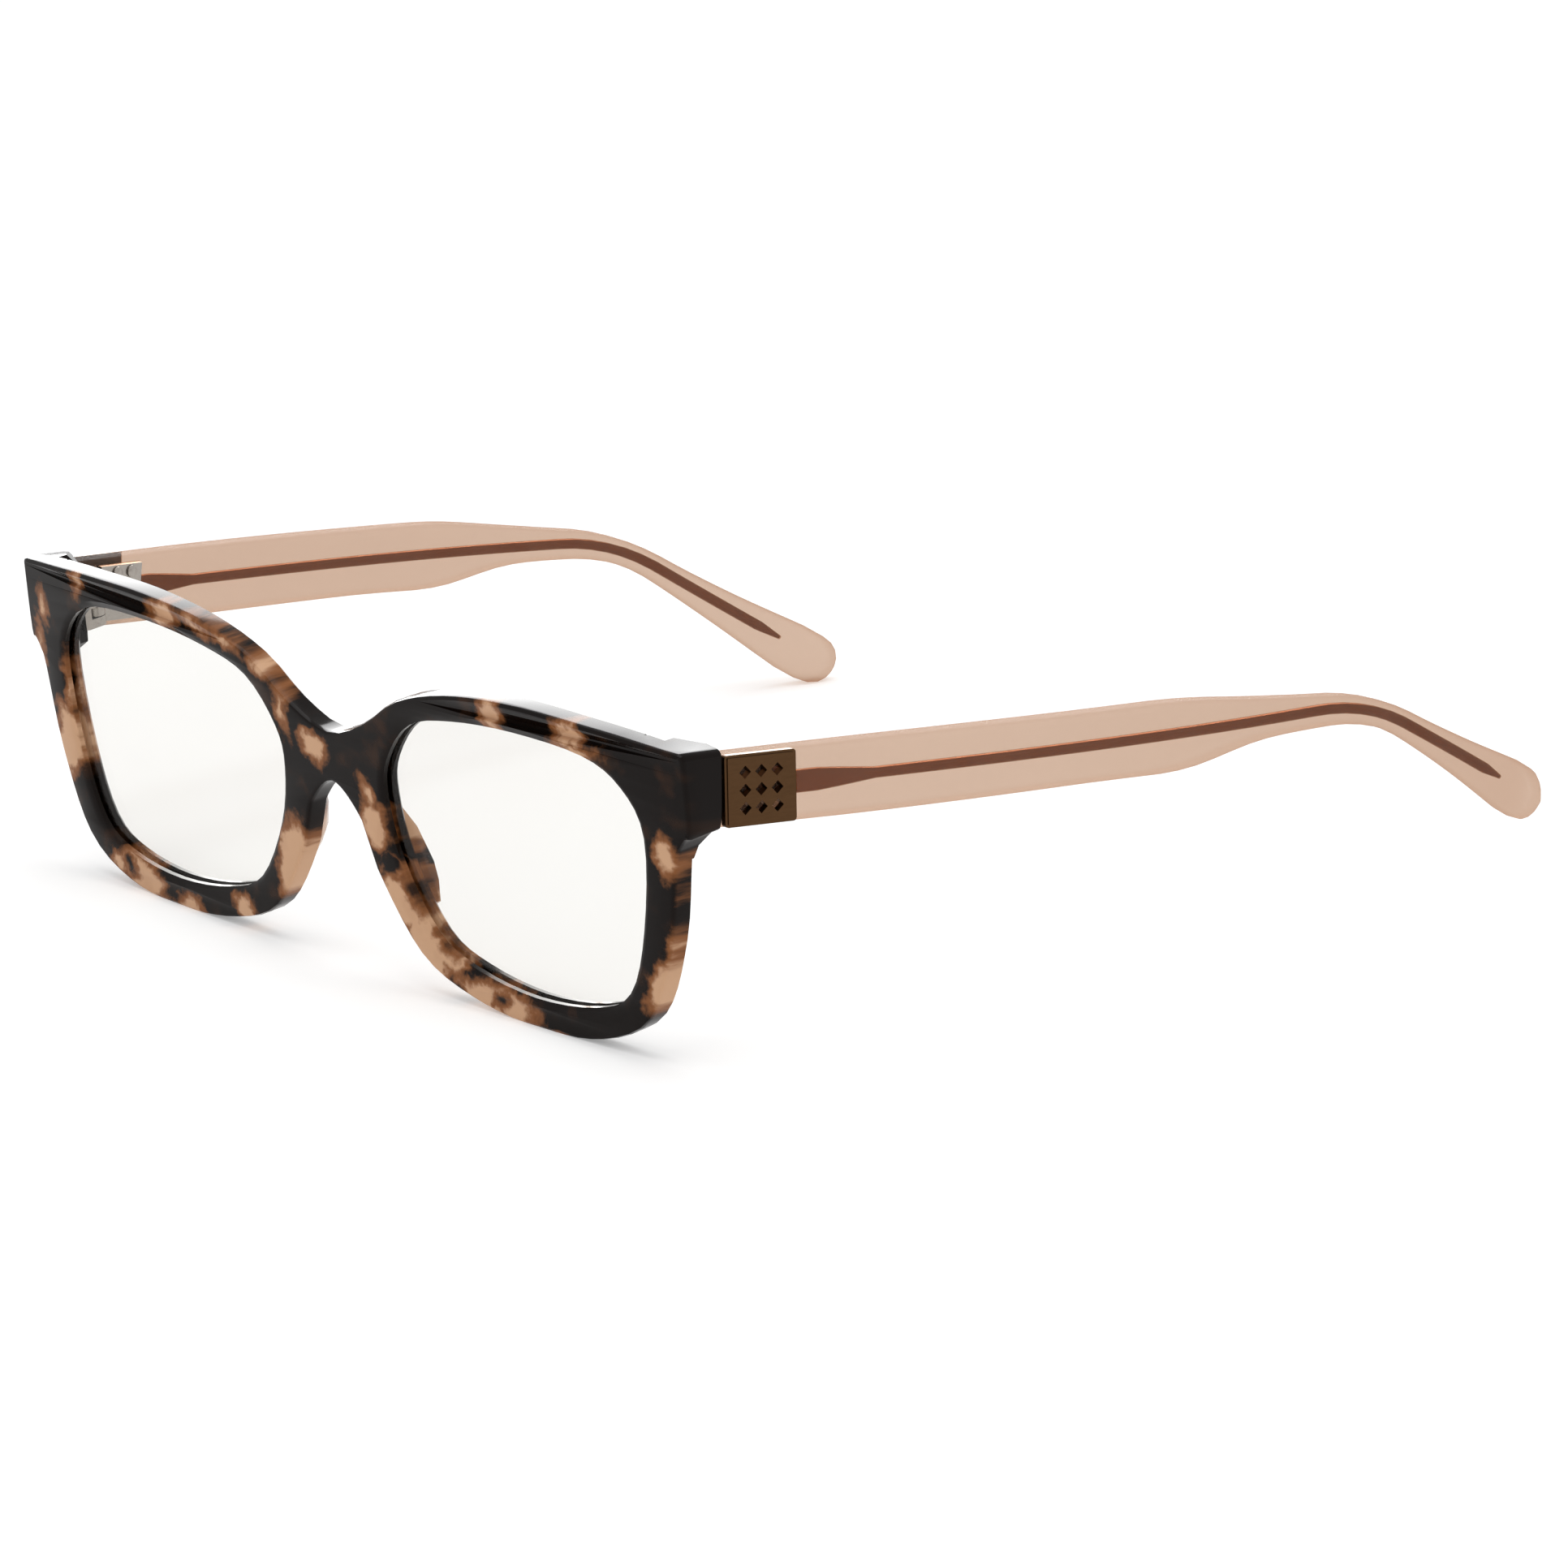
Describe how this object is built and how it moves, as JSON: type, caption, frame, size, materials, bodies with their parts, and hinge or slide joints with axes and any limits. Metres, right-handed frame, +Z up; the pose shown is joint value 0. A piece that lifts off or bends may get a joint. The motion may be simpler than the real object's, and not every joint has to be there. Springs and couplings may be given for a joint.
{
  "type": "eyeglasses frame",
  "caption": "Acetate eyeglasses frame with clear demo lenses, bonded nose pads and folding wire-core temples with pierced metal plates.",
  "frame": {"origin": "middle of the bounding box's underside, on the floor that the rims and the right temple tip stand on", "axes": "+Z up, -Y the way the front faces, +X to the wearer's left"},
  "size_m": [0.1526, 0.1516, 0.0433],
  "materials": {
    "tortoise_acetate": "polished tortoise pattern",
    "clear_lens": "clear",
    "blush_acetate": "frosted translucent",
    "hinge_steel": "satin",
    "gilt_wire": "satin gilt",
    "bronze_plate": "satin bronze"
  },
  "bodies": {
    "front": {"front_frame": "tortoise_acetate", "lens_left": "clear_lens", "nose_pad_left": "tortoise_acetate", "front_hinge_left": "hinge_steel", "hinge_screw_left": "hinge_steel", "lens_right": "clear_lens", "nose_pad_right": "tortoise_acetate", "front_hinge_right": "hinge_steel", "hinge_screw_right": "hinge_steel"},
    "temple_arm_left": {"temple_left": "blush_acetate", "core_wire_left": "gilt_wire", "temple_plaque_left": "bronze_plate", "temple_hinge_left": "hinge_steel", "rivet_front_left": "hinge_steel", "rivet_rear_left": "hinge_steel"},
    "temple_arm_right": {"temple_right": "blush_acetate", "core_wire_right": "gilt_wire", "temple_plaque_right": "bronze_plate", "temple_hinge_right": "hinge_steel", "rivet_front_right": "hinge_steel", "rivet_rear_right": "hinge_steel"}
  },
  "joints": [
    {"name": "temple_fold_left", "type": "hinge", "parent": "front", "child": "temple_arm_left", "pos_m": [0.061, -0.06485, 0.03569], "axis": [0, -0.1288, 0.9917], "range_deg": [0, 90]},
    {"name": "temple_fold_right", "type": "hinge", "parent": "front", "child": "temple_arm_right", "pos_m": [-0.061, -0.06485, 0.03569], "axis": [0, 0.1288, -0.9917], "range_deg": [0, 76]}
  ]
}
